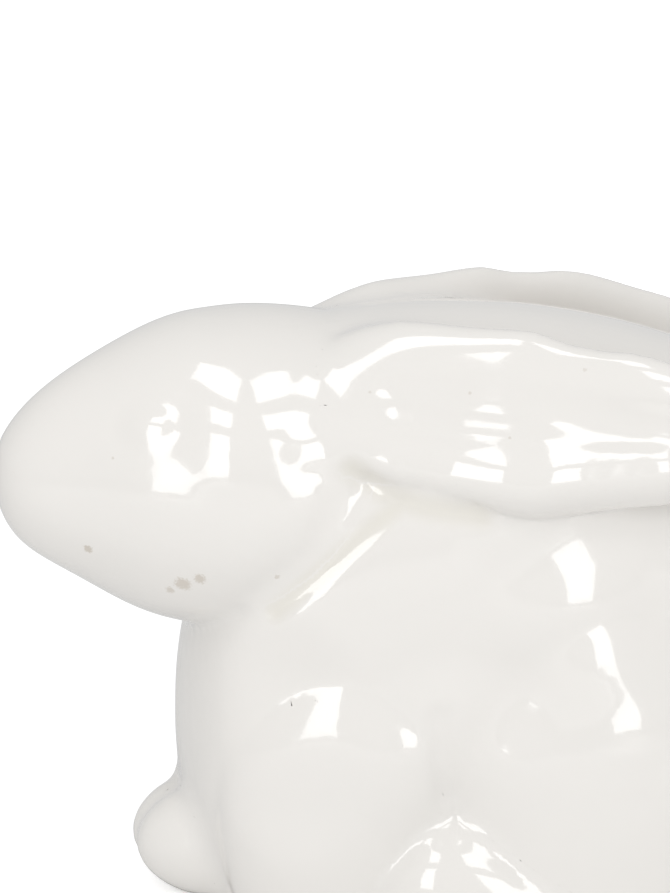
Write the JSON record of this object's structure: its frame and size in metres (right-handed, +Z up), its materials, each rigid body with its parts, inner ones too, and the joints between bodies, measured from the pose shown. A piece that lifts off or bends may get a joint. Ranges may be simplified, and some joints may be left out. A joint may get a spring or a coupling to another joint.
{
  "type": "rabbit figurine",
  "caption": "Crouching rabbit figurine in glazed white ceramic, with its ears laid back along its shoulders, made of luted clay castings on a flat base.",
  "frame": {"origin": "middle of the bounding box on the ground plane, under the figurine", "axes": "+Z up, the nose points along -X and the tail along +X, the rabbit's left side faces -Y, and Y = 0 is its plane of symmetry"},
  "size_m": [0.1554, 0.066, 0.0922],
  "materials": {
    "white_glaze": "glossy transparent glaze over white clay",
    "bare_clay": "unglazed, matt"
  },
  "bodies": {
    "root": {"torso": "white_glaze", "head": "white_glaze", "ear_left": "white_glaze", "ear_right": "white_glaze", "foreleg_left": "white_glaze", "foreleg_right": "white_glaze", "front_paw_left": "white_glaze", "front_paw_right": "white_glaze", "haunch_left": "white_glaze", "haunch_right": "white_glaze", "hind_foot_left": "white_glaze", "hind_foot_right": "white_glaze", "tail": "white_glaze", "base_disc": "bare_clay"}
  },
  "joints": []
}
